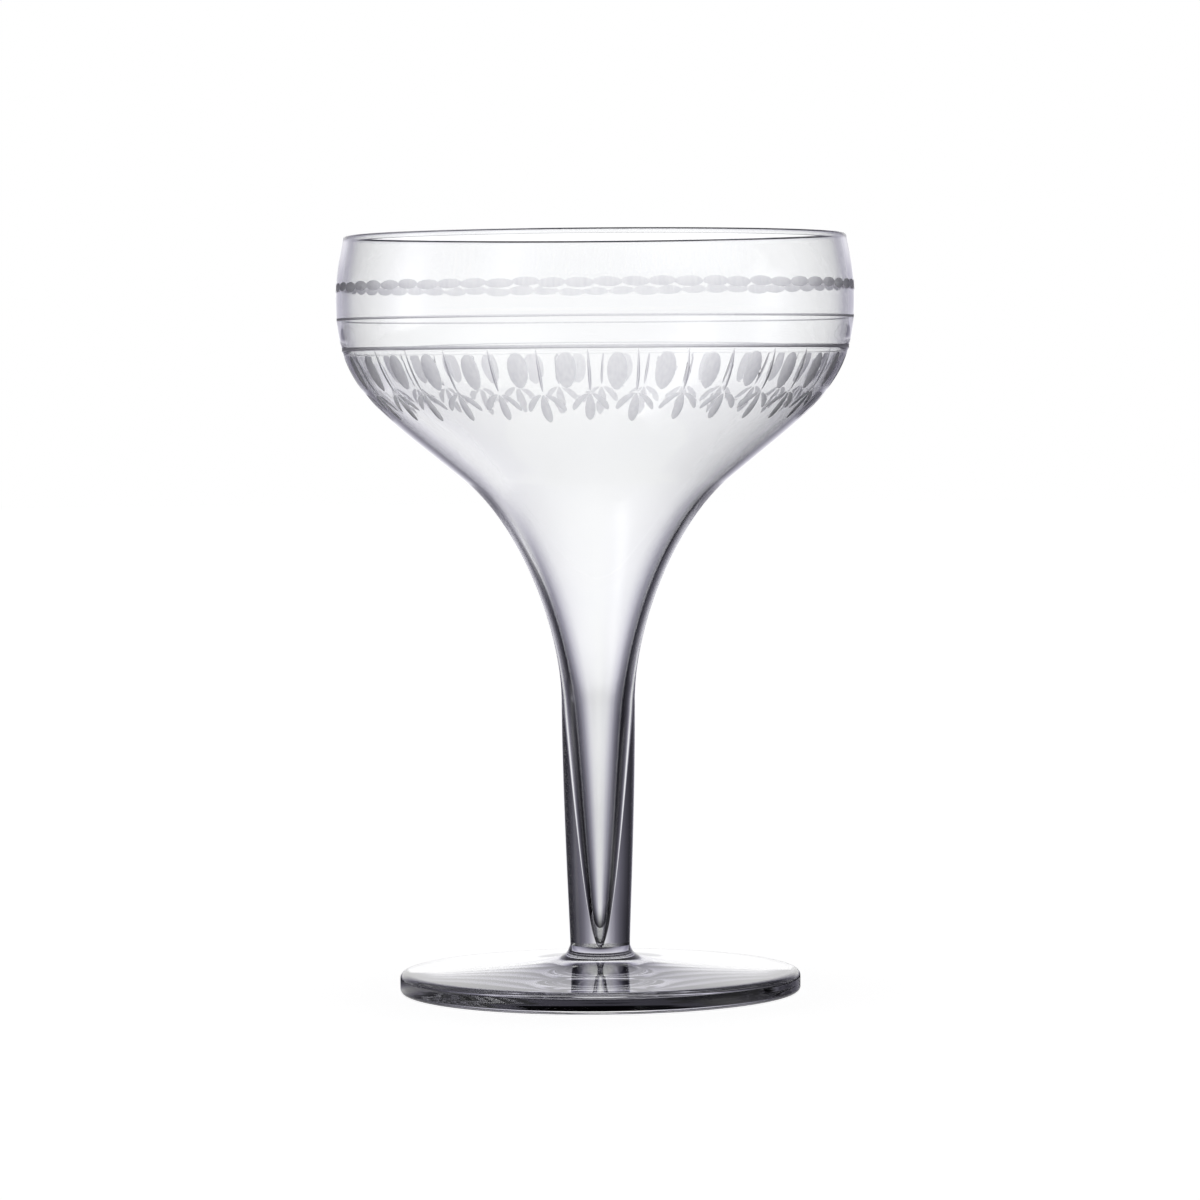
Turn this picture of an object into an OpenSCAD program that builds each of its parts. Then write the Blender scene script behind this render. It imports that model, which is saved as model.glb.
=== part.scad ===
// Hollow-stem coupe glass. A thin blown bowl runs down into a hollow stem, whose air space
// narrows to a point just above the foot. A small gather of glass joins the stem to the foot.
// Millimetres. The origin is the middle of the resting face, and +Z is the axis of the glass.

/* [Bowl] */
// Height of the bowl above its joint with the stem
bowl_h = 90.8; // [84:0.1:110]
// Outside diameter at the widest place
bowl_d = 101.2; // [96:0.1:115]
// Outside diameter at the rim
rim_d = 98.2; // [90:0.1:101]
// Distance from the rim down to the widest place
belly_drop = 13; // [8:0.1:18]
// Distance from the rim down to the straightest place of the underside
under_drop = 47.5; // [42:0.1:54]
// Outside diameter at the straightest place of the underside
under_d = 52; // [46:0.1:60]
// Slope of the underside at its straightest place, in degrees from level
under_slope = 39.6; // [32:0.1:48]
// Wall of the glass at the rim
rim_wall = 1; // [0.7:0.05:1.6]
// Wall of the glass at the straightest place of the underside
under_wall = 1.1; // [0.8:0.05:1.8]

/* [Cut lines] */
// Distance from the rim down to the upper cut line
upper_line_drop = 16.2; // [14:0.1:19]
// Width of the upper cut line
upper_line_w = 0.45; // [0.3:0.05:0.9]
// Distance from the rim down to the lower cut line
lower_line_drop = 22; // [20:0.1:26]
// Width of the lower cut line
lower_line_w = 0.7; // [0.3:0.05:0.9]
// Depth of both cut lines
line_depth = 0.06; // [0.04:0.01:0.15]

/* [Stem] */
// Length of the stem, from its joint with the bowl to the gather
stem_len = 48.1; // [40:0.1:65]
// Outside diameter at the top of the stem
stem_top_d = 14.4; // [12.5:0.1:17]
// Outside diameter at the bottom of the stem
stem_foot_d = 11.7; // [10:0.1:12.5]
// Wall of the stem at its top
stem_wall = 2.3; // [1.6:0.05:3]
// Distance from the top of the foot up to the tip of the air space
tip_rise = 0.3; // [0.2:0.05:0.6]
// Lean of the air space's wall at the top of the stem, in degrees from upright
hollow_lean = 7; // [5:0.1:10]

/* [Gather] */
// Height of the gather of glass between the stem and the foot
gather_h = 0.9; // [0.8:0.05:2]
// Diameter of the gather where it spreads onto the foot
gather_d = 12.4; // [11.8:0.1:15]

/* [Foot] */
// Diameter of the foot
foot_d = 78.5; // [70:0.1:88]
// Height of the foot in the middle, under the gather
foot_h = 8.2; // [7.2:0.1:11]
// Height of the foot's top where its rounded shoulder starts
shoulder_h = 4.1; // [3.6:0.1:5]
// Width of the rounded shoulder, measured in from the edge
shoulder_w = 2; // [1.5:0.1:6]
// Slope of the foot's top at its shoulder, in degrees from level
foot_slope = 3; // [1.5:0.1:5]
// Height at which the upright edge of the foot starts to round over
edge_h = 2.8; // [2:0.1:3]
// Radius of the foot's lower corner
corner_r = 0.8; // [0.4:0.05:1.2]
// Width of the flat ring that the foot rests on
rest_w = 7; // [4:0.1:12]
// Height of the hollow under the foot, in the middle
dish_h = 0.5; // [0.2:0.05:1]

/* [Hidden] */
$fn = 96;

// Steps in each curve of an outline
curve_steps = 14;
// Reach of a cutter past the surface that it cuts
overrun = 0.5;

// Heights of the joints between the pieces, and of the rim
gather_z = foot_h;
stem_z = foot_h + gather_h;
bowl_z = stem_z + stem_len;
rim_z = bowl_z + bowl_h;

// Pulls of the curves, as shares of the straight distance between their ends
rim_pull_shares = [0.31, 0.46];
belly_pull_shares = [0.39, 0.5];
throat_pull_shares = [0.31, 0.28];
hollow_throat_pull_shares = [0.38, 0.25];
stem_pull_shares = [0.4, 0.06];
hollow_pull_shares = [0.22, 0.045];
flare_pull_shares = [0.07, 0.78];
shoulder_pull_shares = [0.5, 0.4];

// Directions in degrees, in which 0 points out from the axis and -90 points down
down = -90;
rim_lean = -80;
tip_dir = -155;
flare_dir = -72;
under_dir = under_slope - 180;
hollow_dir = down - hollow_lean;

// Points of the outside, as distance from the axis and height. The lip's point is its centre
lip_pt = [(rim_d - rim_wall) / 2, rim_z - rim_wall / 2];
rim_pt = lip_pt + rim_wall / 2 * heading(rim_lean + 90);
belly_pt = [bowl_d / 2, rim_z - belly_drop];
under_pt = [under_d / 2, rim_z - under_drop];
stem_top_pt = [stem_top_d / 2, bowl_z];
stem_foot_pt = [stem_foot_d / 2, stem_z];
gather_pt = [gather_d / 2, gather_z];
shoulder_pt = [foot_d / 2 - shoulder_w, shoulder_h];
edge_pt = [foot_d / 2, edge_h];

// Points of the inside
under_in_pt = under_pt + under_wall * [-sin(under_slope), cos(under_slope)];
hollow_top_pt = stem_top_pt - [stem_wall, 0];
tip_pt = [0, gather_z + tip_rise];
rest_in_r = foot_d / 2 - corner_r - rest_w;

function heading(dir) = [cos(dir), sin(dir)];

// One point of the curve that leaves p0 along dir0 and reaches p1 along dir1
function curve_point(p0, dir0, p1, dir1, pulls, t) =
    let (reach = norm(p1 - p0))
    let (c0 = p0 + pulls[0] * reach * heading(dir0))
    let (c1 = p1 - pulls[1] * reach * heading(dir1))
    pow(1 - t, 3) * p0 + 3 * t * pow(1 - t, 2) * c0 + 3 * t * t * (1 - t) * c1 + pow(t, 3) * p1;

function curve(p0, dir0, p1, dir1, pulls) =
    [for (i = [0 : curve_steps]) curve_point(p0, dir0, p1, dir1, pulls, i / curve_steps)];

// The same curve moved to the inside of the glass, by a wall that changes evenly along it.
// Its last point is left out, because the throat's curve starts there
function curve_inside(points, wall0, wall1) =
    let (last = len(points) - 1)
    [for (i = [0 : last - 1])
        let (along = points[i + 1] - points[max(i - 1, 0)])
        let (inward = [along[1], -along[0]] / norm(along))
        points[i] + inward * (wall0 + (wall1 - wall0) * i / last)];

function reversed(points) = [for (i = [len(points) - 1 : -1 : 0]) points[i]];

// Two curves in one, without the point that they share
function joined(first, second) = concat(first, [for (i = [1 : len(second) - 1]) second[i]]);

// Outside of the bowl from the rim to its joint with the stem
rim_curve = curve(rim_pt, rim_lean, belly_pt, down, rim_pull_shares);
belly_curve = curve(belly_pt, down, under_pt, under_dir, belly_pull_shares);
cup_curve = joined(rim_curve, belly_curve);
throat_curve = curve(under_pt, under_dir, stem_top_pt, down, throat_pull_shares);

// Inside of the bowl, then the air space in the stem
lip_arc = [for (a = [165 : -15 : 15]) lip_pt + rim_wall / 2 * heading(rim_lean + 90 + a)];
cup_in_curve = curve_inside(cup_curve, rim_wall, under_wall);
throat_in_curve = curve(under_in_pt, under_dir, hollow_top_pt, hollow_dir, hollow_throat_pull_shares);
hollow_curve = curve(hollow_top_pt, hollow_dir, tip_pt, tip_dir, hollow_pull_shares);

stem_curve = curve(stem_top_pt, down, stem_foot_pt, down, stem_pull_shares);
flare_curve = curve(gather_pt, flare_dir, shoulder_pt, -foot_slope, flare_pull_shares);
shoulder_curve = curve(shoulder_pt, -foot_slope, edge_pt, down, shoulder_pull_shares);

// Half section of the round groove that the edge of a wheel leaves around the bowl
module line_section(drop, width) {
    wheel_r = (width * width / 4 + line_depth * line_depth) / (2 * line_depth);
    z = rim_z - drop;
    surface_r = lookup(-z, [for (p = cup_curve) [-p[1], p[0]]]);
    translate([surface_r - line_depth + wheel_r, z]) circle(wheel_r);
}

module bowl_section() {
    difference() {
        polygon(concat(joined(cup_curve, throat_curve),
            reversed(throat_in_curve), reversed(cup_in_curve), lip_arc));
        line_section(upper_line_drop, upper_line_w);
        line_section(lower_line_drop, lower_line_w);
    }
}

module bowl() {
    color("aliceblue") rotate_extrude() bowl_section();
}

// The air space below the joint of bowl and stem, as one revolved solid for all that it enters
module air_space() {
    rotate_extrude() polygon(concat(hollow_curve, [[0, bowl_z + overrun], hollow_top_pt + [0, overrun]]));
}

module hollow_stem() {
    color("lightsteelblue") difference() {
        rotate_extrude() polygon(concat(stem_curve, [[0, stem_z], [0, bowl_z]]));
        air_space();
    }
}

module stem_gather() {
    color("lavender") difference() {
        translate([0, 0, gather_z]) cylinder(h = gather_h, d1 = gather_d, d2 = stem_foot_d);
        air_space();
    }
}

module foot() {
    corner_c = [foot_d / 2 - corner_r, corner_r];
    corner_arc = [for (a = [0 : 15 : 90]) corner_c + corner_r * heading(-a)];
    color("slategray") rotate_extrude() polygon(concat(joined(flare_curve, shoulder_curve),
        corner_arc, [[rest_in_r, 0], [0, dish_h], [0, gather_z]]));
}

bowl();
hollow_stem();
stem_gather();
foot();
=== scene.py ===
import math
import random

import bpy
import numpy as np
from mathutils import Matrix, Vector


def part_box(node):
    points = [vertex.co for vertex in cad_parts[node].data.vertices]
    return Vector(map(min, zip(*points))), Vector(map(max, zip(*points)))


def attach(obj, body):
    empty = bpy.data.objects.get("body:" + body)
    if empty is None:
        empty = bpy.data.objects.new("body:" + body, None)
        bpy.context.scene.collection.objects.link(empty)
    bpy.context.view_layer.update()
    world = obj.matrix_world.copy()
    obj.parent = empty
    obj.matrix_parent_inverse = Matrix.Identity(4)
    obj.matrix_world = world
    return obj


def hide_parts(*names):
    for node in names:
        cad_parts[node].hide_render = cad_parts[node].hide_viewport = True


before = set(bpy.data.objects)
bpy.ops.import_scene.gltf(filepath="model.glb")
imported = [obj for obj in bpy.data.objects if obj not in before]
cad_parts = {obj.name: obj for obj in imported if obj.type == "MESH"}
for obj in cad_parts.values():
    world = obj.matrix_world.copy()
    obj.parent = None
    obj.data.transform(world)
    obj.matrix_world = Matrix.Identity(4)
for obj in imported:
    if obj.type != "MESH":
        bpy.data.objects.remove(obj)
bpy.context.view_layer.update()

# A hollow-stem coupe glass, turned as four closed solids of glass, with the ornament cut into its bowl.
# Lengths are in metres, as in the frame. MM writes them as they are on the glass
MM = 0.001
# Least half width of a cut, and least distance from a joint or a cut line to the next point
SMALLEST = 0.02 * MM

# Places that the frame gives
BOWL_LOW, BOWL_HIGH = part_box("bowl")
STEM_LOW, STEM_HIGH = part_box("hollow_stem")
GATHER_LOW, GATHER_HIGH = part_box("stem_gather")
_, FOOT_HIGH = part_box("foot")
RIM_Z = BOWL_HIGH.z
BOWL_Z = BOWL_LOW.z
STEM_Z = STEM_LOW.z
GATHER_Z = GATHER_LOW.z
BELLY_R = BOWL_HIGH.x
STEM_TOP_R = STEM_HIGH.x
GATHER_R = GATHER_HIGH.x
FOOT_R = FOOT_HIGH.x

# Sizes of the turned outline that no box tells
RIM_R = 49.1 * MM
RIM_WALL = 1.0 * MM
BELLY_DROP = 13.0 * MM
UNDER_DROP = 47.5 * MM
UNDER_R = 26.0 * MM
UNDER_WALL = 1.1 * MM
STEM_FOOT_R = 5.85 * MM
STEM_WALL = 2.3 * MM
TIP_RISE = 0.3 * MM
SHOULDER_H = 4.1 * MM
SHOULDER_W = 2.0 * MM
EDGE_H = 2.8 * MM
CORNER_R = 0.8 * MM
REST_W = 7.0 * MM
DISH_H = 0.5 * MM

# Directions of the outline in degrees, in which 0 points out from the axis and -90 points down
DOWN = -90
RIM_LEAN = -80
UNDER_SLOPE = 39.6
UNDER_DIR = UNDER_SLOPE - 180
HOLLOW_LEAN = 7.0
HOLLOW_DIR = DOWN - HOLLOW_LEAN
TIP_DIR = -155
FLARE_DIR = -72
FOOT_SLOPE = 3.0

# Pulls of the outline's curves, as shares of the straight distance between their ends
RIM_PULLS = (0.31, 0.46)
BELLY_PULLS = (0.39, 0.5)
THROAT_PULLS = (0.31, 0.28)
HOLLOW_THROAT_PULLS = (0.38, 0.25)
HOLLOW_PULLS = (0.22, 0.045)
STEM_PULLS = (0.4, 0.06)
FLARE_PULLS = (0.07, 0.78)
SHOULDER_PULLS = (0.5, 0.4)

# Steps in the outline's curves, degrees in each step of its small arcs, and steps around the axis
RIM_STEPS = 16
BELLY_STEPS = 44
THROAT_STEPS = 56
HOLLOW_STEPS = 80
STEM_STEPS = 48
FLARE_STEPS = 56
SHOULDER_STEPS = 24
LIP_STEP = 15
CORNER_STEP = 10
SEGMENTS = 256

# Cut lines round the bowl: distance below the rim, width, depth, and points across
UPPER_LINE_DROP = 16.2 * MM
UPPER_LINE_W = 0.45 * MM
LOWER_LINE_DROP = 22.0 * MM
LOWER_LINE_W = 0.7 * MM
LINE_DEPTH = 0.06 * MM
LINE_POINTS = 9

# Chain of ovals above the lines. Angles are in degrees from the camera's side
OVALS = 61
OVAL_START = 2.76
OVAL_DROP = 10.0 * MM
OVAL_LONG = 5.8 * MM
OVAL_WIDE = 1.9 * MM

# Buds and sprigs below the lines, in turn. A sprig has a stroke above and three leaves below
SPRIGS = 32
BUD_START = 4.6
BUD_TOP_DROP = 23.2 * MM
BUD_LONG = 7.8 * MM
BUD_WIDE = 3.9 * MM
SPRIG_START = -1.4
SPRIG_DROP = 30.8 * MM
STROKE_TOP_DROP = 22.4 * MM
STROKE_LEAN = 0.37 * MM
STROKE_WIDE = 0.6 * MM
STROKE_GAP = 0.5 * MM
LEAF_LONG = 7.1 * MM
LEAF_WIDE = 1.9 * MM
SIDE_LEAF_OUT = 3.5 * MM
SIDE_LEAF_DOWN = 4.3 * MM
SIDE_LEAF_WIDE = 1.4 * MM
# Where a side leaf's bend is, as shares of its reach out and down
SIDE_LEAF_BEND = (0.68, 0.2)

# How each cut is made: radius of the wheel's edge, bluntness and shift of the taper, and the
# stations along it and lanes across it in the mesh
OVAL_CUT = {"wheel": 7.0 * MM, "blunt": 0.5, "shift": 1.0, "stations": 13, "lanes": 6}
BUD_CUT = {"wheel": 18.0 * MM, "blunt": 0.55, "shift": 0.82, "stations": 17, "lanes": 10}
STROKE_CUT = {"wheel": 0.4 * MM, "blunt": 0.45, "shift": 1.3, "stations": 11, "lanes": 4}
LEAF_CUT = {"wheel": 6.0 * MM, "blunt": 0.5, "shift": 1.3, "stations": 15, "lanes": 6}
SIDE_LEAF_CUT = {"wheel": 6.0 * MM, "blunt": 0.5, "shift": 1.5, "stations": 13, "lanes": 5}
# A cutter reaches to this many half widths of the cut on each side, and this far above the glass
CUTTER_REACH = 1.12
CLEAR_ABOVE = 0.25 * MM

# How far the cutter's hand slips at most: turns in degrees, places in metres, sizes as shares
OVAL_SLIP = {"turn": 0.25, "long": 0.05, "wide": 0.08, "tilt": 0.12 * MM, "drop": 0.16 * MM}
BUD_SLIP = {"turn": 0.25, "run": 0.2 * MM, "long": 0.04, "wide": 0.05, "aside": 0.15 * MM}
SPRIG_SLIP = {"turn": 0.2, "run": 0.15 * MM}
STROKE_SLIP = {"bend": 0.1 * MM, "wide": 0.12}
LEAF_SLIP = {"bend": 0.2 * MM, "aside": 0.3 * MM, "long": 0.05, "wide": 0.08}
SIDE_LEAF_SLIP = {"out": 0.08, "down": 0.06, "wide": 0.1}
SLIP_SEED = 7

# Steps of the bowl's outside where the ornament is placed on it, above and below its widest place
RUN_RIM_STEPS = 100
RUN_BELLY_STEPS = 400

# The photograph, 1200 x 1200, and where its camera stood
PHOTO_SIDE = 1200
FOCAL_PIXELS = 5037
HORIZON_PIXEL_Y = 382.7
CAMERA_DISTANCE = 0.985
CAMERA_HEIGHT = 0.1192
CAMERA_ASIDE = 0.5 * MM
CAMERA_ROLL = 0.45
SENSOR_WIDTH = 36
CLIP_START = 0.05


def heading(degrees):
    """A step of length 1 in a direction of the outline."""
    return np.array([math.cos(math.radians(degrees)), math.sin(math.radians(degrees))])


def curve(p0, dir0, p1, dir1, pulls, steps, crowded=False):
    """Points of the curve that leaves p0 along dir0 and reaches p1 along dir1. Crowded ones are
    close at both ends, where the next piece goes on and the shading must not change."""
    p0, p1 = np.array(p0, float), np.array(p1, float)
    reach = np.linalg.norm(p1 - p0)
    c0 = p0 + pulls[0] * reach * heading(dir0)
    c1 = p1 - pulls[1] * reach * heading(dir1)
    t = np.linspace(0, 1, steps + 1)[:, None]
    if crowded:
        t = (1 - np.cos(math.pi * t)) / 2
    return (1 - t) ** 3 * p0 + 3 * t * (1 - t) ** 2 * c0 + 3 * t * t * (1 - t) * c1 + t ** 3 * p1


def joined(*curves):
    """Curves in one list, each without the point that it shares with the one before."""
    return np.vstack([curves[0]] + [c[1:] for c in curves[1:]])


def moved_in(points, wall0, wall1):
    """A curve moved to the inside of the glass, by a wall that changes evenly along it."""
    along = np.gradient(points, axis=0)
    inward = np.stack([along[:, 1], -along[:, 0]], 1)
    inward /= np.linalg.norm(inward, axis=1)[:, None]
    return points + inward * np.linspace(wall0, wall1, len(points))[:, None]


# Points of the outline, as distance from the axis and height
lip_centre = np.array([RIM_R - RIM_WALL / 2, RIM_Z - RIM_WALL / 2])
rim_point = lip_centre + RIM_WALL / 2 * heading(RIM_LEAN + 90)
belly_point = (BELLY_R, RIM_Z - BELLY_DROP)
under_point = np.array([UNDER_R, RIM_Z - UNDER_DROP])
under_in_point = under_point + UNDER_WALL * heading(UNDER_SLOPE + 90)
stem_top_point = np.array([STEM_TOP_R, BOWL_Z])
stem_foot_point = (STEM_FOOT_R, STEM_Z)
hollow_top_point = stem_top_point - np.array([STEM_WALL, 0])
tip_point = (0, GATHER_Z + TIP_RISE)
gather_point = (GATHER_R, GATHER_Z)
shoulder_point = (FOOT_R - SHOULDER_W, SHOULDER_H)
edge_point = (FOOT_R, EDGE_H)
corner_centre = np.array([FOOT_R - CORNER_R, CORNER_R])
rest_in_point = (FOOT_R - CORNER_R - REST_W, 0)


def cup_curve(rim_steps, belly_steps):
    """The bowl's outside, from its rim to the straightest place of its underside."""
    return joined(
        curve(rim_point, RIM_LEAN, belly_point, DOWN, RIM_PULLS, rim_steps),
        curve(belly_point, DOWN, under_point, UNDER_DIR, BELLY_PULLS, belly_steps),
    )


# Curves of the outline
lip = np.array([
    lip_centre + RIM_WALL / 2 * heading(RIM_LEAN + 90 + a) for a in range(180 - LIP_STEP, 0, -LIP_STEP)
])
cup_outside = cup_curve(RIM_STEPS, BELLY_STEPS)
cup_inside = moved_in(cup_outside, RIM_WALL, UNDER_WALL)
throat_outside = curve(under_point, UNDER_DIR, stem_top_point, DOWN, THROAT_PULLS, THROAT_STEPS, True)
throat_inside = curve(
    under_in_point, UNDER_DIR, hollow_top_point, HOLLOW_DIR, HOLLOW_THROAT_PULLS, THROAT_STEPS, True,
)
hollow_wall = curve(hollow_top_point, HOLLOW_DIR, tip_point, TIP_DIR, HOLLOW_PULLS, HOLLOW_STEPS, True)
stem_outside = curve(stem_top_point, DOWN, stem_foot_point, DOWN, STEM_PULLS, STEM_STEPS, True)
flare = curve(gather_point, FLARE_DIR, shoulder_point, -FOOT_SLOPE, FLARE_PULLS, FLARE_STEPS)
shoulder = curve(shoulder_point, -FOOT_SLOPE, edge_point, DOWN, SHOULDER_PULLS, SHOULDER_STEPS)
corner = np.array([corner_centre + CORNER_R * heading(-a) for a in range(0, 91, CORNER_STEP)])

# Slots of the materials on every piece
CLEAR, GROUND, FUSED = 0, 1, 2
# Points nearer to the axis than this are on it
ON_AXIS = 1e-9


def lathe(name, bands):
    """A closed solid turned about the axis. A band is a list of points and the slot of the faces
    after each of them. Points on the axis stay single."""
    outline = np.vstack([points for points, _ in bands])
    kinds = np.concatenate([np.full(len(points), kind) for points, kind in bands])
    verts, rings = [], []
    turns = np.linspace(0, 2 * math.pi, SEGMENTS, endpoint=False)
    for r, z in outline:
        count = 1 if r < ON_AXIS else SEGMENTS
        rings.append(list(range(len(verts), len(verts) + count)))
        verts += [(r * math.cos(a), r * math.sin(a), z) for a in turns[:count]]
    faces, slots = [], []
    for k, top in enumerate(rings):
        low = rings[(k + 1) % len(rings)]
        if len(top) == 1 and len(low) == 1:
            continue
        for i in range(SEGMENTS):
            j = (i + 1) % SEGMENTS
            corners = [top[i % len(top)], low[i % len(low)], low[j % len(low)], top[j % len(top)]]
            faces.append(tuple(dict.fromkeys(corners)))
            slots.append(kinds[k])
    mesh = bpy.data.meshes.new(name)
    mesh.from_pydata(verts, [], faces)
    mesh.polygons.foreach_set("material_index", slots)
    return mesh


def add_piece(name, mesh, clear=None):
    """An object with its materials in the order of the slots. The foot has a clear glass of its own."""
    piece = bpy.data.objects.new(name, mesh)
    bpy.context.scene.collection.objects.link(piece)
    for material in (clear or clear_glass, ground_glass, fused_joint):
        mesh.materials.append(material)
    return piece


def finish_piece(piece, node):
    """Smooth faces, with sharp edges where a polished face meets a cut or a joint."""
    mesh = piece.data
    mesh.polygons.foreach_set("use_smooth", [True] * len(mesh.polygons))
    slots = {}
    for polygon in mesh.polygons:
        for key in polygon.edge_keys:
            slots.setdefault(key, set()).add(polygon.material_index)
    for edge in mesh.edges:
        edge.use_edge_sharp = len(slots.get(edge.key, ())) > 1
    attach(piece, "root")
    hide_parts(node)


def math_node(tree, operation, a, b=0.0):
    """Arithmetic on two values, each a number or another node's output."""
    node = tree.nodes.new("ShaderNodeMath")
    node.operation = operation
    for socket, value in zip(node.inputs, (a, b)):
        if isinstance(value, (int, float)):
            socket.default_value = value
        else:
            tree.links.new(value, socket)
    return node.outputs[0]


def ramp_node(tree, factor, stops, tint=(1, 1, 1)):
    """Brightness by a factor, from pairs of place and brightness. The tint grows as it gets darker."""
    node = tree.nodes.new("ShaderNodeValToRGB")
    tree.links.new(factor, node.inputs[0])
    elements = node.color_ramp.elements
    elements.remove(elements[1])
    for k, (place, value) in enumerate(stops):
        element = elements[0] if k == 0 else elements.new(place)
        element.position = place
        shade = [value * (1 + (t - 1) * (1 - value)) for t in tint]
        element.color = (*shade, 1)
    return node.outputs[0]


def mix_node(tree, factor, a, b, blend="MIX"):
    """A mix of two colours, each a grey number or another node's output."""
    node = tree.nodes.new("ShaderNodeMix")
    node.data_type = "RGBA"
    node.blend_type = blend
    for socket, value in zip((node.inputs["Factor"], node.inputs["A"], node.inputs["B"]), (factor, a, b)):
        if isinstance(value, (int, float)):
            socket.default_value = value if socket.type == "VALUE" else (value, value, value, 1)
        else:
            tree.links.new(value, socket)
    return node.outputs["Result"]


def smooth_node(tree, value, none, full):
    """A smooth step from 0, where the value is none, to 1, where it is full."""
    node = tree.nodes.new("ShaderNodeMapRange")
    node.interpolation_type = "SMOOTHSTEP"
    tree.links.new(value, node.inputs["Value"])
    node.inputs["From Min"].default_value = none
    node.inputs["From Max"].default_value = full
    return node.outputs[0]


def split_node(tree, output):
    """Coordinates of the world or the floor, as a vector and as x, y and z."""
    coordinates = tree.nodes.new("ShaderNodeTexCoord").outputs[output]
    split = tree.nodes.new("ShaderNodeSeparateXYZ")
    tree.links.new(coordinates, split.inputs[0])
    return coordinates, *split.outputs


# Materials
GLASS_IOR = 1.52
CLEAR_TINTS = (0.988, 0.991, 0.993, 1), (0.97, 0.975, 0.983, 1)
GROUND_TINTS = (0.98, 0.98, 0.99, 1), (0.74, 0.74, 0.78, 1)
# Painted shade: ground glass is coloured darker where it is seen at a low angle, so it lets less through
# there
GROUND_SHADE_STOPS = ((0.0, 1.0), (0.35, 0.95), (0.6, 0.75), (0.8, 0.5), (1.0, 0.3))
CLEAR_ROUGHNESS = 0
GROUND_ROUGHNESS = 0.4
# Unevenness: waves in a metre along x, y and z, and their height
BLOWN = (25, 25, 110), 0.013 * MM
TOOLED = (14, 14, 800), 0.015 * MM
GRAIN = (1800, 1800, 250), 0.01 * MM
# Layers of finer noise in the unevenness and in the tints
BUMP_DETAIL = 1
TINT_DETAIL = 0


def noise_node(tree, waves, detail):
    """Noise with a number of waves in a metre along x, y and z."""
    place = tree.nodes.new("ShaderNodeTexCoord").outputs["Object"]
    stretch = tree.nodes.new("ShaderNodeVectorMath")
    stretch.operation = "MULTIPLY"
    tree.links.new(place, stretch.inputs[0])
    stretch.inputs[1].default_value = waves
    noise = tree.nodes.new("ShaderNodeTexNoise")
    noise.inputs["Scale"].default_value = 1
    noise.inputs["Detail"].default_value = detail
    tree.links.new(stretch.outputs[0], noise.inputs["Vector"])
    return noise.outputs["Fac"]


def glass_material(name, roughness, tints, *unevenness, shade_stops=None):
    """Glass whose tint goes from one to the other in the waves of its first unevenness. Stops by facing,
    where given, darken it with a painted shade where it is seen at a low angle.
    """
    material = bpy.data.materials.new(name)
    material.use_nodes = True
    tree = material.node_tree
    shader = tree.nodes["Principled BSDF"]
    shader.inputs["Transmission Weight"].default_value = 1
    shader.inputs["IOR"].default_value = GLASS_IOR
    shader.inputs["Roughness"].default_value = roughness
    normal = None
    for waves, height in unevenness:
        noise = noise_node(tree, waves, BUMP_DETAIL)
        bump = tree.nodes.new("ShaderNodeBump")
        bump.inputs["Distance"].default_value = height
        tree.links.new(noise, bump.inputs["Height"])
        if normal:
            tree.links.new(normal, bump.inputs["Normal"])
        normal = bump.outputs["Normal"]
    tree.links.new(normal, shader.inputs["Normal"])
    tint = tree.nodes.new("ShaderNodeMix")
    tint.data_type = "RGBA"
    tint.inputs["A"].default_value, tint.inputs["B"].default_value = tints
    tree.links.new(noise_node(tree, unevenness[0][0], TINT_DETAIL), tint.inputs["Factor"])
    shade = tint.outputs["Result"]
    if shade_stops:
        # Painted shade: the colour darkens where the glass is seen at a low angle
        facing = tree.nodes.new("ShaderNodeLayerWeight").outputs["Facing"]
        shade = mix_node(tree, 1, shade, ramp_node(tree, facing, shade_stops), "MULTIPLY")
    tree.links.new(shade, shader.inputs["Base Color"])
    return material


clear_glass = glass_material("clear_glass", CLEAR_ROUGHNESS, CLEAR_TINTS, BLOWN)
foot_glass = glass_material("foot_glass", CLEAR_ROUGHNESS, CLEAR_TINTS, BLOWN, TOOLED)
ground_glass = glass_material(
    "ground_glass", GROUND_ROUGHNESS, GROUND_TINTS, GRAIN, shade_stops=GROUND_SHADE_STOPS,
)

# Where two pieces are fused, light goes straight on, as inside one glass
fused_joint = bpy.data.materials.new("fused_joint")
fused_joint.use_nodes = True
fused_tree = fused_joint.node_tree
fused_tree.nodes.remove(fused_tree.nodes["Principled BSDF"])
see_through = fused_tree.nodes.new("ShaderNodeBsdfTransparent")
fused_tree.links.new(see_through.outputs[0], fused_tree.nodes["Material Output"].inputs["Surface"])

# The bowl's outside, as a run of places down from the rim: distance along it, radius, height, lean
run_points = cup_curve(RUN_RIM_STEPS, RUN_BELLY_STEPS)
run_steps = np.diff(run_points, axis=0)
run_length = np.concatenate([[0], np.cumsum(np.linalg.norm(run_steps, axis=1))])
run_lean = np.unwrap(np.arctan2(np.gradient(run_points[:, 1]), np.gradient(run_points[:, 0])))


def run_at(drop):
    """Distance along the bowl's outside from the rim to a height below it."""
    return np.interp(drop, RIM_Z - run_points[:, 1], run_length)


def on_bowl(angle, run, across, along, lift):
    """Places on the bowl's outside: across it and along it from a place, and raised off it."""
    run = run + along
    r = np.interp(run, run_length, run_points[:, 0])
    z = np.interp(run, run_length, run_points[:, 1])
    lean = np.interp(run, run_length, run_lean)
    turn = math.radians(angle) + across / r
    r = r - lift * np.sin(lean)
    z = z + lift * np.cos(lean)
    return np.stack([r * np.sin(turn), -r * np.cos(turn), z], -1)


def bend(p0, p1, p2):
    """A spine from p0 to p2 that bends towards p1."""
    p0, p1, p2 = (np.array(p) for p in (p0, p1, p2))
    return lambda t: (1 - t) ** 2 * p0 + 2 * t * (1 - t) * p1 + t * t * p2


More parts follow.
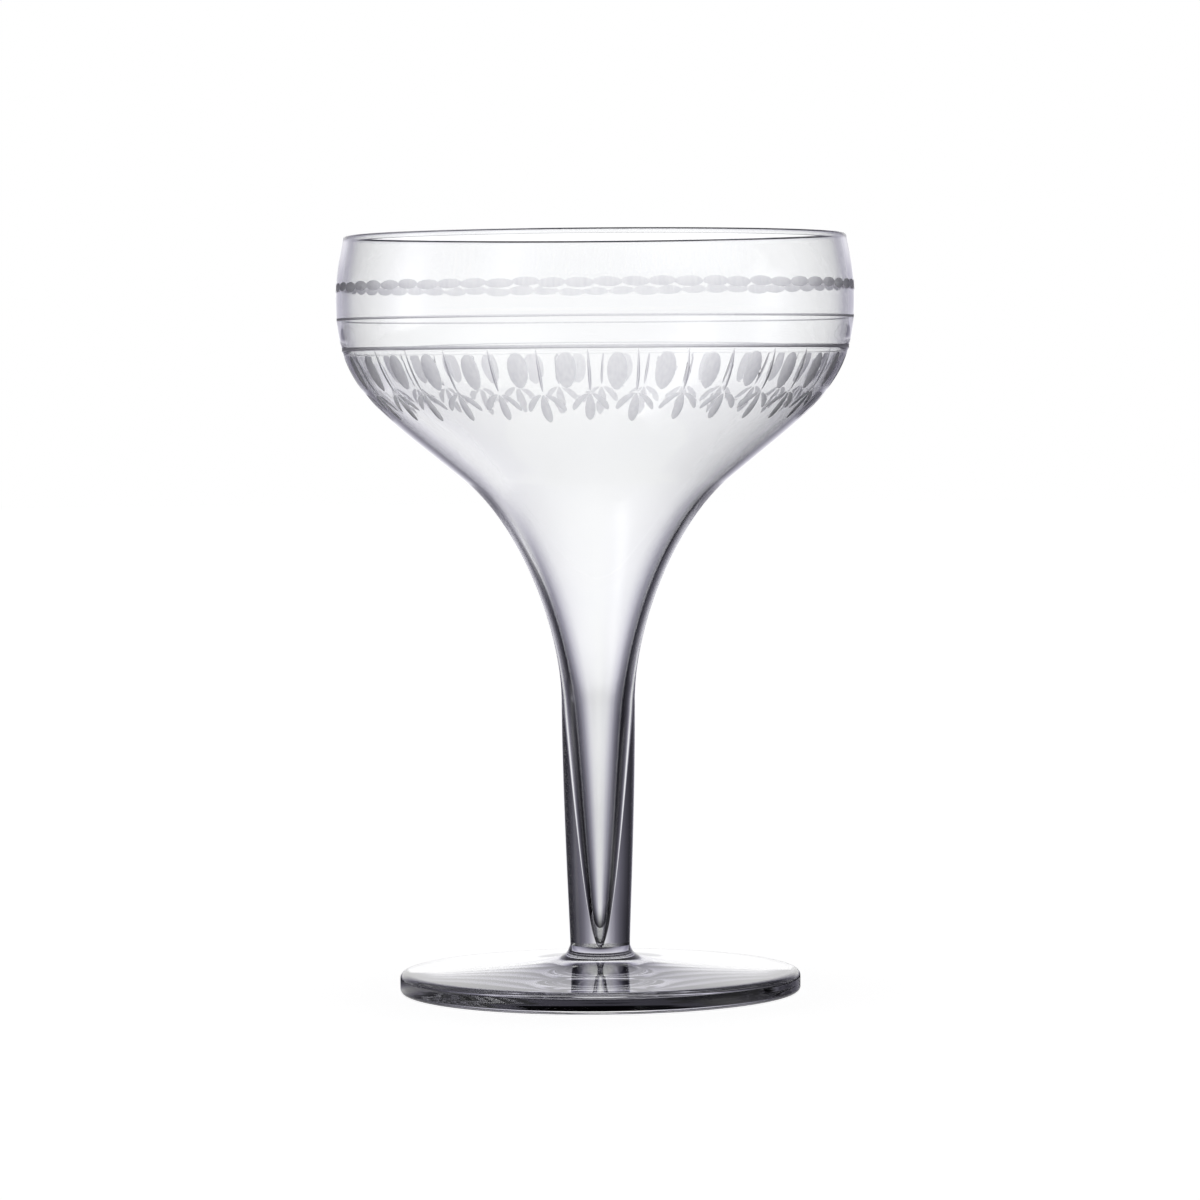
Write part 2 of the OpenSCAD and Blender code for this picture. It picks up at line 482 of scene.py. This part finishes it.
def half_width(t, wide, blunt, shift):
    """Half width along a cut with two pointed ends: blunt 0.5 gives an ellipse, 1 sharp points."""
    return max(SMALLEST, wide / 2 * max(0, 4 * t ** shift * (1 - t ** shift)) ** blunt)


class Cutters:
    """Closed solids in the shape of a wheel's cuts, gathered in one mesh. Those of one mesh don't meet."""

    def __init__(self):
        self.verts, self.faces = [], []

    def groove(self, angle, run, spine, wide, shape):
        """A rounded groove along a spine. Its depth follows its width, as the wheel's edge makes it."""
        stations, lanes = shape["stations"], shape["lanes"]
        t = (1 - np.cos(np.linspace(0, math.pi, stations))) / 2
        path = np.array([spine(k) for k in t])
        way = np.gradient(path, axis=0)
        way /= np.linalg.norm(way, axis=1)[:, None]
        side = np.stack([way[:, 1], -way[:, 0]], 1)
        width = np.array([half_width(k, wide, shape["blunt"], shape["shift"]) for k in t])[:, None]
        lane = np.linspace(-CUTTER_REACH, CUTTER_REACH, lanes + 1)[None, :]
        lift = width ** 2 * (lane ** 2 - 1) / (2 * shape["wheel"])
        lane = np.hstack([lane, lane[:, -1:], lane[:, :1]])
        lift = np.hstack([lift, np.full((stations, 2), CLEAR_ABOVE)])
        across = path[:, :1] + side[:, :1] * width * lane
        along = path[:, 1:] + side[:, 1:] * width * lane
        points = on_bowl(angle, run, across, along, lift)
        first, ring = len(self.verts), lanes + 3
        self.verts += points.reshape(-1, 3).tolist()
        for s in range(stations - 1):
            for k in range(ring):
                a, b = first + s * ring + k, first + s * ring + (k + 1) % ring
                self.faces.append((a, b, b + ring, a + ring))
        self.faces.append(tuple(first + k for k in reversed(range(ring))))
        last = first + (stations - 1) * ring
        self.faces.append(tuple(last + k for k in range(ring)))

    def cut(self, piece):
        """Takes these solids out of a piece, whose new faces are ground."""
        mesh = bpy.data.meshes.new("cutters")
        mesh.from_pydata(self.verts, [], self.faces)
        cutter = add_piece("cutters", mesh)
        mesh.polygons.foreach_set("material_index", [GROUND] * len(mesh.polygons))
        modifier = piece.modifiers.new("cut", "BOOLEAN")
        modifier.operation = "DIFFERENCE"
        modifier.solver = "MANIFOLD"
        modifier.object = cutter
        graph = bpy.context.evaluated_depsgraph_get()
        result = bpy.data.meshes.new_from_object(piece.evaluated_get(graph))
        piece.modifiers.clear()
        piece.data = result
        bpy.data.objects.remove(cutter)


def line_points(drop, width):
    """Rounded groove of a cut line, from its upper edge to its lower one."""
    wheel_r = (width * width / 4 + LINE_DEPTH ** 2) / (2 * LINE_DEPTH)
    r = np.interp(run_at(drop), run_length, run_points[:, 0]) - LINE_DEPTH + wheel_r
    reach = math.degrees(math.asin(width / 2 / wheel_r))
    angles = 180 + np.linspace(-reach, reach, LINE_POINTS)
    return np.array([(r, RIM_Z - drop) + wheel_r * heading(a) for a in angles])


def bowl_bands():
    """The bowl's outline with its cut lines, from the rim down its outside and up its inside."""
    outside = joined(cup_outside, throat_outside)
    bands = []
    for drop, width in ((UPPER_LINE_DROP, UPPER_LINE_W), (LOWER_LINE_DROP, LOWER_LINE_W)):
        above = outside[:, 1] > RIM_Z - drop + width / 2 + SMALLEST
        below = outside[:, 1] < RIM_Z - drop - width / 2 - SMALLEST
        groove = line_points(drop, width)
        bands += [(outside[above], CLEAR), (groove[:-1], GROUND), (groove[-1:], CLEAR)]
        outside = outside[below]
    inside = np.vstack([throat_inside[::-1], cup_inside[-2::-1], lip])
    return bands + [(outside[:-1], CLEAR), (outside[-1:], FUSED), (inside, CLEAR)]


# Bowl and its ornament
bowl = add_piece("bowl_glass", lathe("bowl_glass", bowl_bands()))
rng = random.Random(SLIP_SEED)


def hand(amount):
    """A small slip of the cutter's hand."""
    return rng.uniform(-amount, amount)


# Cuts that touch each other go in different meshes. The number of ovals is odd, so the last one,
# which touches one of each mesh of ovals, goes in with the buds and strokes
even_ovals, odd_ovals, buds_and_strokes = Cutters(), Cutters(), Cutters()
for k in range(OVALS):
    angle = OVAL_START + 360 / OVALS * k + hand(OVAL_SLIP["turn"])
    long = OVAL_LONG * (1 + hand(OVAL_SLIP["long"]))
    wide = OVAL_WIDE * (1 + hand(OVAL_SLIP["wide"]))
    tilt = hand(OVAL_SLIP["tilt"])
    drop = OVAL_DROP + hand(OVAL_SLIP["drop"])
    spine = bend((-long / 2, tilt), (0, 0), (long / 2, -tilt))
    group = buds_and_strokes if k == OVALS - 1 else (even_ovals, odd_ovals)[k % 2]
    group.groove(angle, run_at(drop), spine, wide, OVAL_CUT)

leaves, left_leaves, right_leaves = Cutters(), Cutters(), Cutters()
for k in range(SPRIGS):
    angle = BUD_START + 360 / SPRIGS * k + hand(BUD_SLIP["turn"])
    run = run_at(BUD_TOP_DROP) + hand(BUD_SLIP["run"])
    long = BUD_LONG * (1 + hand(BUD_SLIP["long"]))
    wide = BUD_WIDE * (1 + hand(BUD_SLIP["wide"]))
    spine = bend((hand(BUD_SLIP["aside"]), 0), (0, long / 2), (hand(BUD_SLIP["aside"]), long))
    buds_and_strokes.groove(angle, run, spine, wide, BUD_CUT)

    angle = SPRIG_START + 360 / SPRIGS * k + hand(SPRIG_SLIP["turn"])
    run = run_at(SPRIG_DROP) + hand(SPRIG_SLIP["run"])
    top = run_at(STROKE_TOP_DROP) - run
    spine = bend((-STROKE_LEAN, top), (hand(STROKE_SLIP["bend"]), top / 2), (0, -STROKE_GAP))
    wide = STROKE_WIDE * (1 + hand(STROKE_SLIP["wide"]))
    buds_and_strokes.groove(angle, run, spine, wide, STROKE_CUT)

    middle = (hand(LEAF_SLIP["bend"]), LEAF_LONG / 2)
    end = (hand(LEAF_SLIP["aside"]), LEAF_LONG * (1 + hand(LEAF_SLIP["long"])))
    wide = LEAF_WIDE * (1 + hand(LEAF_SLIP["wide"]))
    leaves.groove(angle, run, bend((0, 0), middle, end), wide, LEAF_CUT)
    for group, way in ((left_leaves, -1), (right_leaves, 1)):
        out = SIDE_LEAF_OUT * (1 + hand(SIDE_LEAF_SLIP["out"]))
        down = SIDE_LEAF_DOWN * (1 + hand(SIDE_LEAF_SLIP["down"]))
        middle = (way * out * SIDE_LEAF_BEND[0], down * SIDE_LEAF_BEND[1])
        wide = SIDE_LEAF_WIDE * (1 + hand(SIDE_LEAF_SLIP["wide"]))
        group.groove(angle, run, bend((0, 0), middle, (way * out, down)), wide, SIDE_LEAF_CUT)

for group in (even_ovals, odd_ovals, buds_and_strokes, leaves, left_leaves, right_leaves):
    group.cut(bowl)

# Stem, gather and foot. The air space goes through the joint of stem and gather, at its mouth
hollow_mouth = np.array([[np.interp(-STEM_Z, -hollow_wall[:, 1], hollow_wall[:, 0]), STEM_Z]])
hollow_in_stem = hollow_wall[hollow_wall[:, 1] > STEM_Z + SMALLEST]
hollow_in_gather = hollow_wall[hollow_wall[:, 1] < STEM_Z - SMALLEST]

stem = add_piece("stem_glass", lathe("stem_glass", [
    (stem_outside[:-1], CLEAR),
    (stem_outside[-1:], FUSED),
    (hollow_mouth, CLEAR),
    (hollow_in_stem[:0:-1], CLEAR),
    (hollow_in_stem[:1], FUSED),
]))
gather = add_piece("gather_glass", lathe("gather_glass", [
    (hollow_in_gather[::-1], CLEAR),
    (hollow_mouth, FUSED),
    (np.array([stem_foot_point]), CLEAR),
    (np.array([gather_point, (0, GATHER_Z)]), FUSED),
]))
foot = add_piece("foot_glass", lathe("foot_glass", [
    (np.array([(0, GATHER_Z)]), FUSED),
    (joined(flare, shoulder), CLEAR),
    (corner, CLEAR),
    (np.array([rest_in_point, (0, DISH_H)]), CLEAR),
]), foot_glass)

for piece, node in ((bowl, "bowl"), (stem, "hollow_stem"), (gather, "stem_gather"), (foot, "foot")):
    finish_piece(piece, node)

# Camera, where the photograph's horizon and sizes put it
camera_data = bpy.data.cameras.new("camera")
camera = bpy.data.objects.new("camera", camera_data)
bpy.context.scene.collection.objects.link(camera)
camera_data.sensor_width = SENSOR_WIDTH
camera_data.lens = SENSOR_WIDTH * FOCAL_PIXELS / PHOTO_SIDE
camera_data.clip_start = CLIP_START
pitch = math.atan((PHOTO_SIDE / 2 - HORIZON_PIXEL_Y) / FOCAL_PIXELS)
look = Matrix.Rotation(math.pi / 2 - pitch, 4, "X") @ Matrix.Rotation(math.radians(-CAMERA_ROLL), 4, "Z")
camera.location = (CAMERA_ASIDE, -CAMERA_DISTANCE, CAMERA_HEIGHT)
camera.rotation_euler = look.to_euler()
bpy.context.scene.camera = camera

# Light. A glass is seen by a bright wall behind it and by the dark beside that wall
GLASS_BOUNCES = 32
GLOSSY_BOUNCES = 24
scene = bpy.context.scene
scene.view_settings.view_transform = "Standard"
scene.cycles.max_bounces = GLASS_BOUNCES
scene.cycles.transmission_bounces = GLASS_BOUNCES
scene.cycles.glossy_bounces = GLOSSY_BOUNCES
scene.cycles.transparent_max_bounces = GLASS_BOUNCES

# Where the lit walls stand, in degrees from +Y towards +X. The main one is behind the glass in the
# photograph. The three side walls are dimmer, and stand behind it for someone who walks around it:
# the low one reaches up from the floor, the middle one starts above eye level, the top one higher still
WALL = 0
LOW_SIDE = -90
MID_SIDE = 135
TOP_SIDE = -45
WALL_BRIGHT = 1.18
SIDE_SHARE = 0.88

# Brightness of a wall by the angle aside from its middle, as a share of a right angle
WALL_STOPS = (
    (0.0, 1.0), (0.14, 1.0), (0.2, 0.85), (0.26, 0.6), (0.35, 0.28), (0.47, 0.1), (0.65, 0.03), (0.9, 0.01),
)
# The same for the main wall at the glass's own level, where it is narrower
LEVEL_STOPS = (
    (0.0, 1.0), (0.08, 1.0), (0.11, 0.68), (0.15, 0.46), (0.27, 0.42), (0.35, 0.22), (0.47, 0.1),
    (0.65, 0.04), (0.9, 0.014),
)
# The same for the low side wall, and for the strips of light that it and the middle one lay on the floor
SIDE_STOPS = ((0.0, 1.0), (0.05, 0.9), (0.09, 0.6), (0.14, 0.32), (0.2, 0.15), (0.3, 0.05), (0.5, 0.012))
# The same for the strip of light that the main wall lays on the floor
STRIP_STOPS = (
    (0.0, 1.0), (0.06, 0.9), (0.11, 0.62), (0.16, 0.36), (0.24, 0.19), (0.33, 0.105),
    (0.45, 0.055), (0.62, 0.022), (0.9, 0.008),
)

# Brightness by the sine of the angle up from the floor, for the main wall and the low side wall
RISE_STOPS = (
    (0.0, 1.0), (0.17, 1.0), (0.2, 0.93), (0.24, 0.78), (0.3, 0.65), (0.36, 0.42), (0.42, 0.2),
    (0.5, 0.1), (1.0, 0.03),
)
# The same for the middle and the top side wall
HIGH_STOPS = ((0.0, 0.0), (0.14, 0.0), (0.22, 0.35), (0.35, 0.45), (0.5, 0.35), (0.7, 0.1), (1.0, 0.0))
TOP_STOPS = ((0.0, 0.0), (0.38, 0.0), (0.46, 0.25), (0.6, 0.2), (0.8, 0.0))
# Between these sines the main wall goes from its narrow form to its wide one
LEVEL_TO, WALL_FROM = 0.04, 0.1

# The floor's glow shows painted strips of the walls' light to a sight along it, and other painted strips of
# light to a steep one. The pairs are values of 1 less the sine of a sight's angle to the floor: where the
# steep kind goes over into the shallow one, and where the strips of the low and the middle side wall start
# and are full
STEEP_FACING, SHALLOW_FACING = 0.625, 0.69
LOW_FROM, LOW_TO = 0.78, 0.85
MID_FROM, MID_TO = 0.9, 0.84
STEEP_STRIPS = (TOP_SIDE, MID_SIDE)
STEEP_BRIGHT = 0.95
# Brightness of the walls' strips by distance from the glass in metres, and where the last stop may be
SHALLOW_STOPS = ((0.0, 0.72), (0.1, 0.72), (0.28, 0.75), (0.42, 0.9), (0.6, 0.95), (0.9, 0.97), (1.8, 1.0))
SHALLOW_REACH = 2.0
# Under the foot the floor's glow holds a painted shadow, dark but for a sight straight through the foot,
# which meets glass twice
UNDER_DEEP = 0.02
UNDER_SEEN = 0.9
SEEN_DEPTH = 2.5
UNDER_FROM, UNDER_TO = 37 * MM, 42 * MM
# A sight that meets glass more often finds a painted shade on the floor right around the foot as well
RING_FROM, RING_TO = 50 * MM, 95 * MM
# Dark glass in the photograph is a little violet
DIM_TINT = (1.01, 0.965, 1.24)
# Share of the white floor that is the lamp's light, which is all that the glass's shadow can take away
LAMP_SHARE = 0.08


def strip_node(tree, x, y, middle, stops, share=1.0):
    """Brightness by the angle aside from one direction on the floor."""
    c, s = math.cos(math.radians(middle)), math.sin(math.radians(middle))
    across = math_node(
        tree, "SUBTRACT", math_node(tree, "MULTIPLY", x, c), math_node(tree, "MULTIPLY", y, s),
    )
    ahead = math_node(tree, "ADD", math_node(tree, "MULTIPLY", x, s), math_node(tree, "MULTIPLY", y, c))
    angle = math_node(tree, "ABSOLUTE", math_node(tree, "ARCTAN2", across, ahead))
    aside = math_node(tree, "DIVIDE", angle, math.pi / 2)
    return mix_node(tree, 1, ramp_node(tree, aside, stops, DIM_TINT), share, "MULTIPLY")


# The world: white to the camera, the lit walls to all that glass shows, and no light on the floor
world = bpy.data.worlds.new("studio")
scene.world = world
world.use_nodes = True
tree = world.node_tree
_, x, y, z = split_node(tree, "Generated")
rise = math_node(tree, "ABSOLUTE", z)
light = [strip_node(tree, x, y, WALL, stops) for stops in (LEVEL_STOPS, WALL_STOPS)]
light = mix_node(tree, smooth_node(tree, rise, LEVEL_TO, WALL_FROM), *light)
light = mix_node(tree, 1, light, strip_node(tree, x, y, LOW_SIDE, SIDE_STOPS, SIDE_SHARE), "LIGHTEN")
light = mix_node(tree, 1, light, ramp_node(tree, rise, RISE_STOPS, DIM_TINT), "MULTIPLY")
for middle, stops in ((MID_SIDE, HIGH_STOPS), (TOP_SIDE, TOP_STOPS)):
    high = strip_node(tree, x, y, middle, WALL_STOPS)
    high = mix_node(tree, 1, high, ramp_node(tree, rise, stops), "MULTIPLY")
    light = mix_node(tree, 1, light, high, "LIGHTEN")
light = mix_node(tree, 1, light, WALL_BRIGHT, "MULTIPLY")
path = tree.nodes.new("ShaderNodeLightPath")
light = mix_node(tree, path.outputs["Is Diffuse Ray"], light, 0.0)
shown = mix_node(tree, path.outputs["Is Camera Ray"], light, 1.0)
tree.links.new(shown, tree.nodes["Background"].inputs["Color"])

# The floor: white to the camera, and to all that the glass shows a glow of painted strips of the walls'
# light, with painted shade under and around the foot
FLOOR_SIDES = 96
FLOOR_RADIUS = 4.0
FLOOR_BELOW = 0.2 * MM
bpy.ops.mesh.primitive_circle_add(
    vertices=FLOOR_SIDES, radius=FLOOR_RADIUS, fill_type="NGON", location=(0, 0, -FLOOR_BELOW),
)
floor = bpy.context.object
floor.name = "floor"
floor_material = bpy.data.materials.new("pale_floor")
floor_material.use_nodes = True
floor.data.materials.append(floor_material)
tree = floor_material.node_tree
tree.nodes.remove(tree.nodes["Principled BSDF"])
place, x, y, _ = split_node(tree, "Object")
length = tree.nodes.new("ShaderNodeVectorMath")
length.operation = "LENGTH"
tree.links.new(place, length.inputs[0])
distance = length.outputs["Value"]
facing = tree.nodes.new("ShaderNodeLayerWeight").outputs["Facing"]
path = tree.nodes.new("ShaderNodeLightPath")
deep = math_node(tree, "GREATER_THAN", path.outputs["Ray Depth"], SEEN_DEPTH)

# What a sight along the floor finds
stops = [(far / SHALLOW_REACH, value * WALL_BRIGHT) for far, value in SHALLOW_STOPS]
shallow = ramp_node(tree, math_node(tree, "DIVIDE", distance, SHALLOW_REACH), stops)
strips = strip_node(tree, x, y, WALL, STRIP_STOPS)
for middle, none, full in ((LOW_SIDE, LOW_FROM, LOW_TO), (MID_SIDE, MID_FROM, MID_TO)):
    side = strip_node(tree, x, y, middle, SIDE_STOPS, SIDE_SHARE)
    side = mix_node(tree, 1, side, smooth_node(tree, facing, none, full), "MULTIPLY")
    strips = mix_node(tree, 1, strips, side, "LIGHTEN")
shallow = mix_node(tree, 1, shallow, strips, "MULTIPLY")
near = math_node(tree, "MULTIPLY", deep, smooth_node(tree, distance, RING_TO, RING_FROM))
shallow = mix_node(tree, 1, shallow, math_node(tree, "SUBTRACT", 1, near), "MULTIPLY")

# What a steep sight finds, and the painted shadow under the foot
steep = [strip_node(tree, x, y, middle, STRIP_STOPS, STEEP_BRIGHT) for middle in STEEP_STRIPS]
steep = mix_node(tree, 1, *steep, "LIGHTEN")
light = mix_node(tree, smooth_node(tree, facing, STEEP_FACING, SHALLOW_FACING), steep, shallow)
under = mix_node(tree, deep, UNDER_SEEN, UNDER_DEEP)
light = mix_node(tree, smooth_node(tree, distance, UNDER_FROM, UNDER_TO), under, light)
# Painted light and shade: the floor glows with the walls' strips and is dark under and around the foot
glow = tree.nodes.new("ShaderNodeEmission")
tree.links.new(light, glow.inputs["Color"])

# What the camera sees: a white floor that takes the glass's soft shadow
white_glow = tree.nodes.new("ShaderNodeEmission")
white_glow.inputs["Strength"].default_value = 1 - LAMP_SHARE
white_paint = tree.nodes.new("ShaderNodeBsdfDiffuse")
white_paint.inputs["Color"].default_value = (1, 1, 1, 1)
white = tree.nodes.new("ShaderNodeAddShader")
tree.links.new(white_glow.outputs[0], white.inputs[0])
tree.links.new(white_paint.outputs[0], white.inputs[1])
shown = tree.nodes.new("ShaderNodeMixShader")
tree.links.new(path.outputs["Is Camera Ray"], shown.inputs[0])
tree.links.new(glow.outputs[0], shown.inputs[1])
tree.links.new(white.outputs[0], shown.inputs[2])
tree.links.new(shown.outputs[0], tree.nodes["Material Output"].inputs["Surface"])

# One soft lamp overhead, which only the floor shows
LAMP_SPREAD = 40.0
LAMP_HEIGHT = 1.0
lamp_data = bpy.data.lights.new("soft_lamp", "SUN")
lamp_data.angle = math.radians(LAMP_SPREAD)
lamp_data.energy = LAMP_SHARE * math.pi
lamp = bpy.data.objects.new("soft_lamp", lamp_data)
lamp.location = (0, 0, LAMP_HEIGHT)
lamp.visible_camera = False
lamp.visible_glossy = False
lamp.visible_transmission = False
scene.collection.objects.link(lamp)
